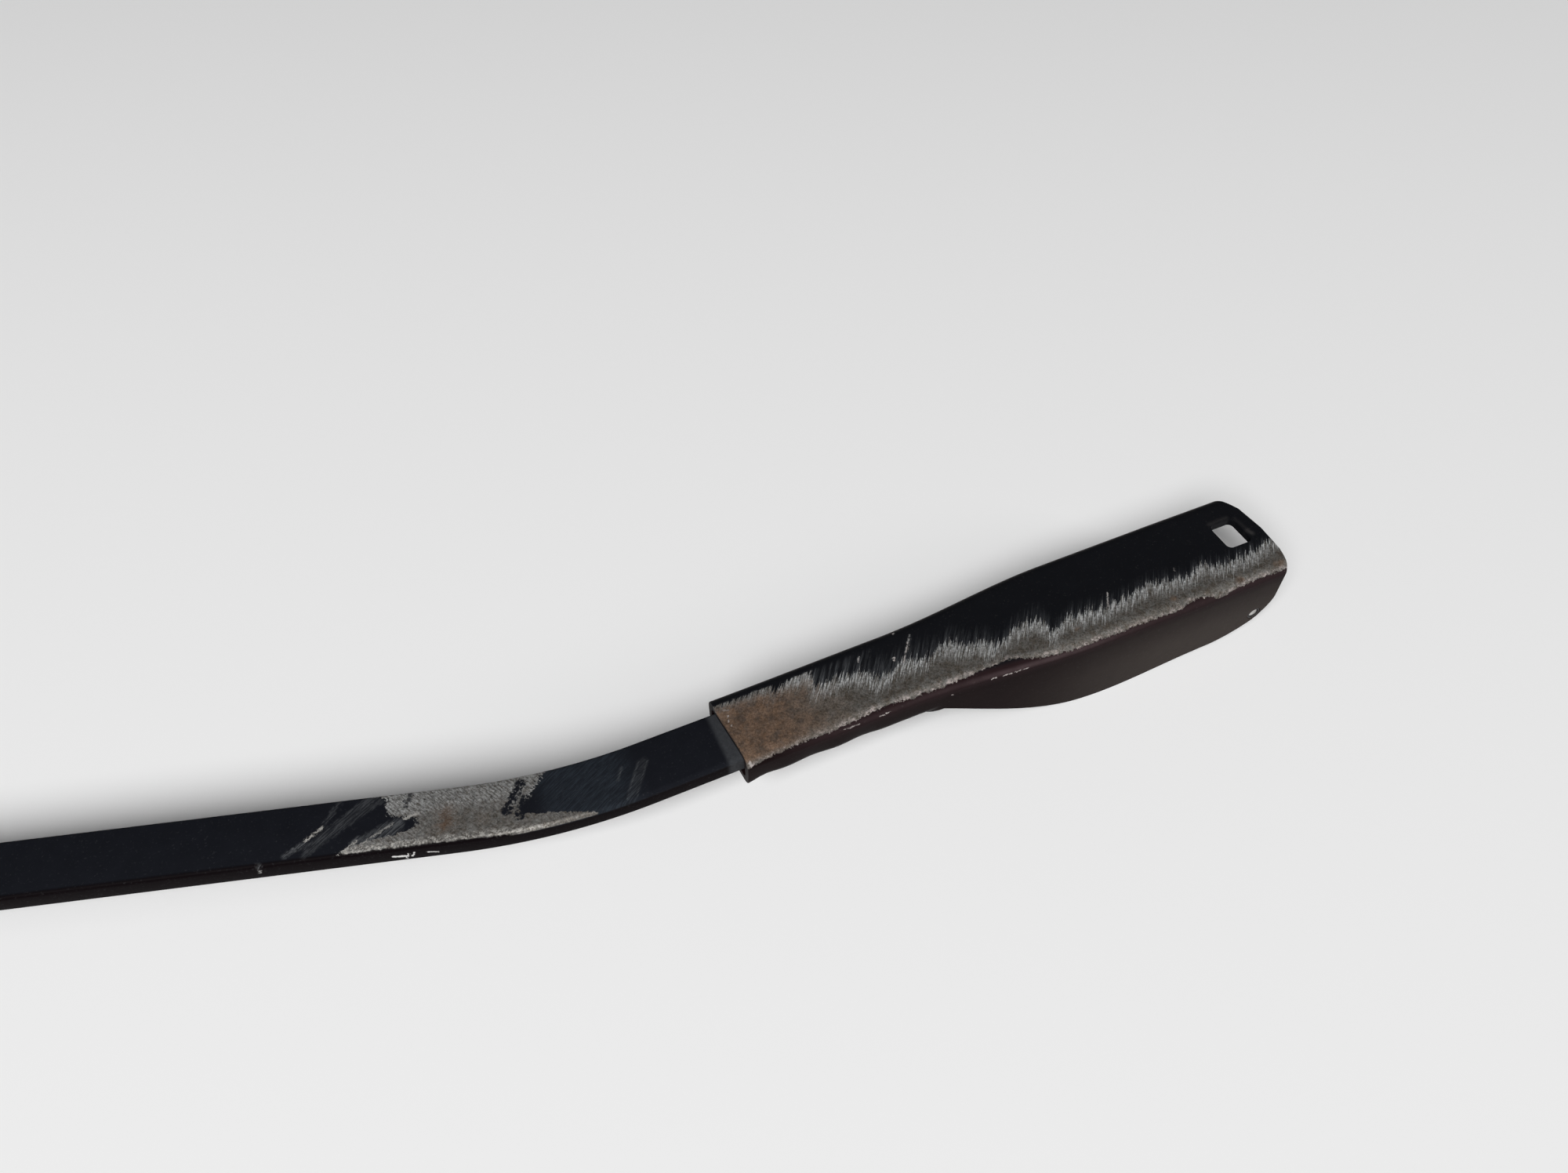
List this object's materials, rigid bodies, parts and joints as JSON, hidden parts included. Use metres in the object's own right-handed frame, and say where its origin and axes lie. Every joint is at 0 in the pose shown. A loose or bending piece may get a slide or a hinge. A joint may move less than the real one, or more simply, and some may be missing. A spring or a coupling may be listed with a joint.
{
  "type": "windscreen wiper arm",
  "caption": "Pressed-steel wiper arm without its head: channel, crimped flat bar bent sideways to a blade hook, hinge pin in bushes, tension spring and hook link.",
  "frame": {"origin": "centre of the bounding box, at its base: the level that the channel's walls and the blade hook rest on", "axes": "+X along the channel towards the hinge end, +Y to the side that the flat bar bends to, +Z out of the channel's web"},
  "size_m": [0.2928, 0.0646, 0.0162],
  "materials": {
    "channel_paint": "satin black paint, worn to bare steel with rust along one fold",
    "bar_paint": "satin black paint, scratched to bare steel at the bend",
    "pin_steel": "turned steel, dull",
    "bush_nylon": "black nylon",
    "spring_steel": "drawn spring wire, oiled",
    "link_steel": "pressed steel, dull zinc"
  },
  "bodies": {
    "arm": {"arm_channel": "channel_paint", "tie_bar": "bar_paint", "hinge_bush_near": "bush_nylon", "hinge_bush_far": "bush_nylon"},
    "hinge_pin": {"hinge_pin": "pin_steel"},
    "spring": {"tension_spring": "spring_steel"},
    "link": {"spring_link": "link_steel"}
  },
  "joints": [
    {"name": "hinge_pin_turn", "type": "hinge", "parent": "arm", "child": "hinge_pin", "pos_m": [0.14158, -0.0233, 0.0057], "axis": [0, 1, 0], "continuous": true},
    {"name": "spring_swing", "type": "hinge", "parent": "arm", "child": "spring", "pos_m": [0.09088, -0.0233, 0.0082], "axis": [0, 1, 0], "range_deg": [-5, 90]},
    {"name": "link_swing", "type": "hinge", "parent": "spring", "child": "link", "pos_m": [0.12086, -0.0233, 0.00757], "axis": [0, 1, 0], "range_deg": [-5, 75]}
  ]
}
